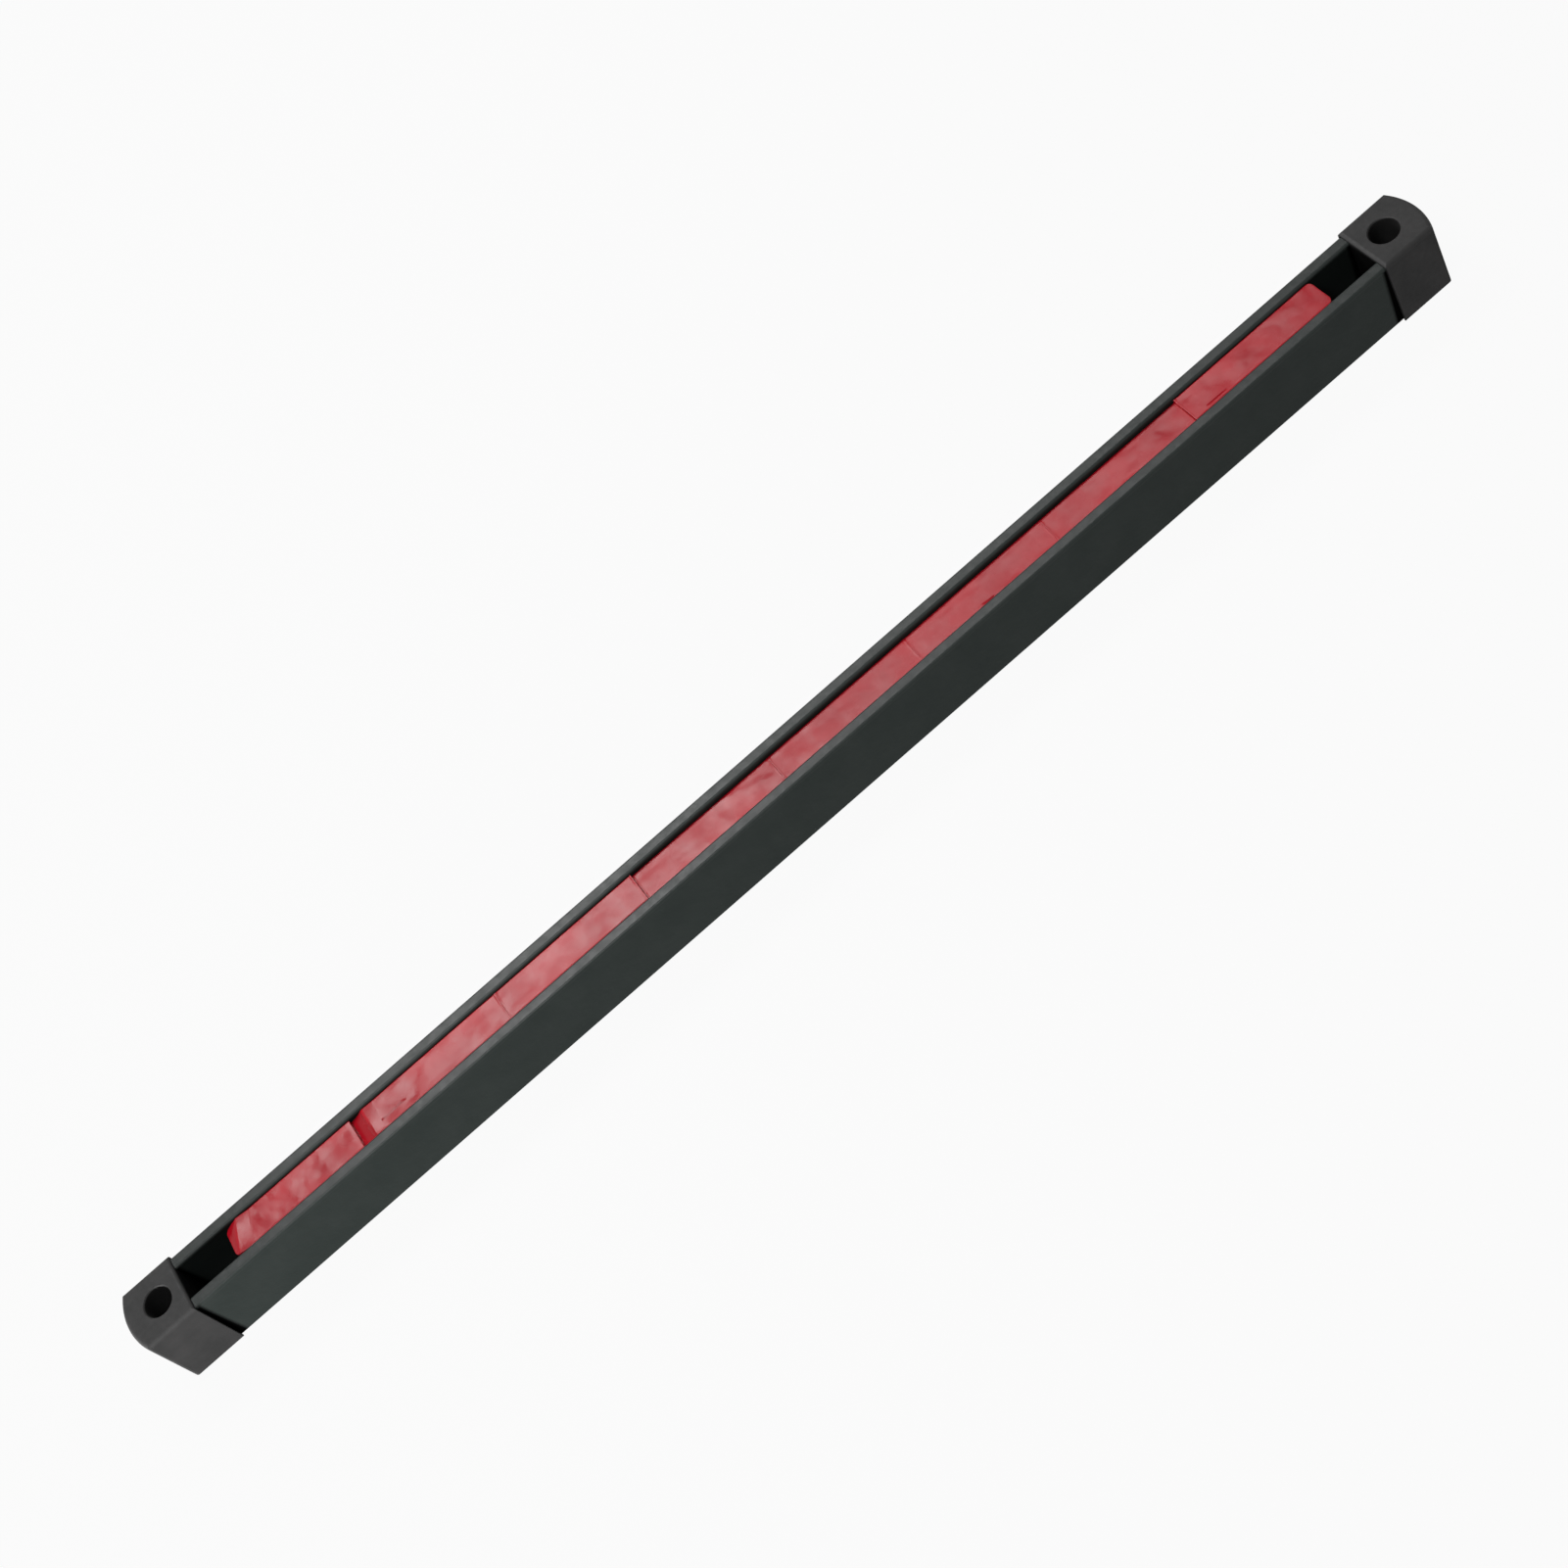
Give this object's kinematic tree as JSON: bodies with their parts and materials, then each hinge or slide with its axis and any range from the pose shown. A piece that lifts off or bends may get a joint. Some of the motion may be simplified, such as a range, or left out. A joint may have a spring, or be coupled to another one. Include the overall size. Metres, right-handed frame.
{
  "type": "magnetic tool holder",
  "caption": "Long magnetic bar for hand tools: twin steel bars with covered magnets in the slot between them, and a moulded end cap with a recessed screw hole at each end.",
  "frame": {"origin": "middle of the flat back, at the centre of the bar's length and width", "axes": "+X along the bar, +Y across it from the front bar to the rear bar, +Z out of the working face"},
  "size_m": [0.457, 0.02, 0.023],
  "materials": {
    "bar_coating": "black powder coat, fine satin grain",
    "cap_plastic": "moulded, fine matt grain",
    "strip_plastic": "extruded, satin",
    "ferrite": "ground ceramic, dull",
    "cover_red": "moulded, glossy with a slight ripple"
  },
  "bodies": {
    "root": {"rail_front": "bar_coating", "rail_rear": "bar_coating", "back_strip": "strip_plastic", "end_cap_left": "cap_plastic", "end_cap_right": "cap_plastic", "magnet_1": "ferrite", "magnet_2": "ferrite", "magnet_3": "ferrite", "magnet_4": "ferrite", "magnet_5": "ferrite", "magnet_6": "ferrite", "magnet_7": "ferrite", "magnet_8": "ferrite", "magnet_cover_1": "cover_red", "magnet_cover_2": "cover_red", "magnet_cover_3": "cover_red", "magnet_cover_4": "cover_red", "magnet_cover_5": "cover_red", "magnet_cover_6": "cover_red", "magnet_cover_7": "cover_red", "magnet_cover_8": "cover_red"}
  },
  "joints": []
}
